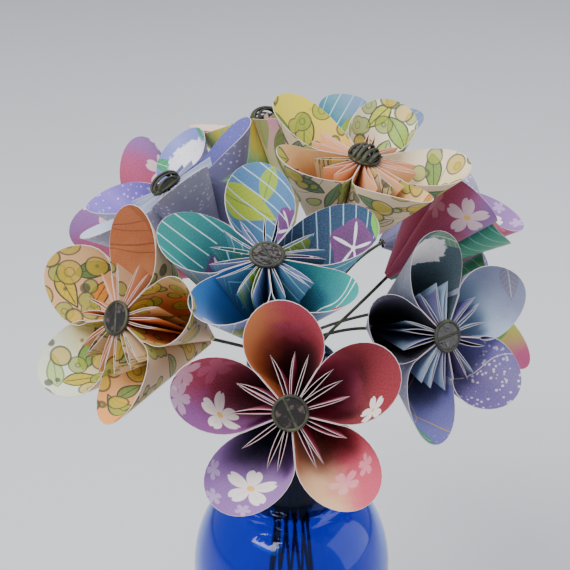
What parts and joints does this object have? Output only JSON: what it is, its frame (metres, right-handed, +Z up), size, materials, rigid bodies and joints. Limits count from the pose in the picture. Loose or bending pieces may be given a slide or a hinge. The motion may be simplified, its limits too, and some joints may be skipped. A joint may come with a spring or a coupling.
{
  "type": "origami flower bouquet",
  "caption": "Folded-paper kusudama flowers on coiled green wires, standing in a cobalt blue glass bottle with a long neck.",
  "frame": {"origin": "centre of the bottle's flat foot", "axes": "+Z up along the bottle's axis, -Y towards the fullest side of the bouquet"},
  "size_m": [0.2016, 0.2742, 0.3466],
  "materials": {
    "paper_crimson": "matt printed paper",
    "paper_teal": "matt printed paper",
    "paper_orange": "matt printed paper",
    "paper_cream": "matt printed paper",
    "paper_navy": "matt printed paper",
    "paper_lilac": "matt printed paper",
    "paper_chintz": "matt printed paper",
    "wire": "dark green coated florist wire",
    "glue": "clear hot-melt glue",
    "glass": "cobalt blue glass"
  },
  "bodies": {
    "root": {"crimson_petal_1": "paper_crimson", "crimson_petal_2": "paper_crimson", "crimson_petal_3": "paper_crimson", "crimson_petal_4": "paper_crimson", "crimson_petal_5": "paper_crimson", "teal_petal_1": "paper_teal", "teal_petal_2": "paper_teal", "teal_petal_3": "paper_teal", "teal_petal_4": "paper_teal", "teal_petal_5": "paper_teal", "orange_petal_1": "paper_orange", "orange_petal_2": "paper_orange", "orange_petal_3": "paper_orange", "orange_petal_4": "paper_orange", "orange_petal_5": "paper_orange", "cream_petal_1": "paper_cream", "cream_petal_2": "paper_cream", "cream_petal_3": "paper_cream", "cream_petal_4": "paper_cream", "cream_petal_5": "paper_cream", "navy_petal_1": "paper_navy", "navy_petal_2": "paper_navy", "navy_petal_3": "paper_navy", "navy_petal_4": "paper_navy", "navy_petal_5": "paper_navy", "lilac_petal_1": "paper_lilac", "lilac_petal_2": "paper_lilac", "lilac_petal_3": "paper_lilac", "lilac_petal_4": "paper_lilac", "lilac_petal_5": "paper_lilac", "chintz_top_flower": "paper_chintz", "chintz_side_flower": "paper_chintz", "teal_back_flower": "paper_teal", "sakura_side_flower": "paper_crimson", "sakura_back_flower": "paper_crimson", "lilac_back_flower": "paper_lilac", "crimson_stem": "wire", "teal_stem": "wire", "orange_stem": "wire", "cream_stem": "wire", "navy_stem": "wire", "lilac_stem": "wire", "chintz_top_stem": "wire", "chintz_side_stem": "wire", "teal_back_stem": "wire", "sakura_side_stem": "wire", "sakura_back_stem": "wire", "lilac_back_stem": "wire", "glue_beads": "glue", "bottle": "glass"}
  },
  "joints": []
}
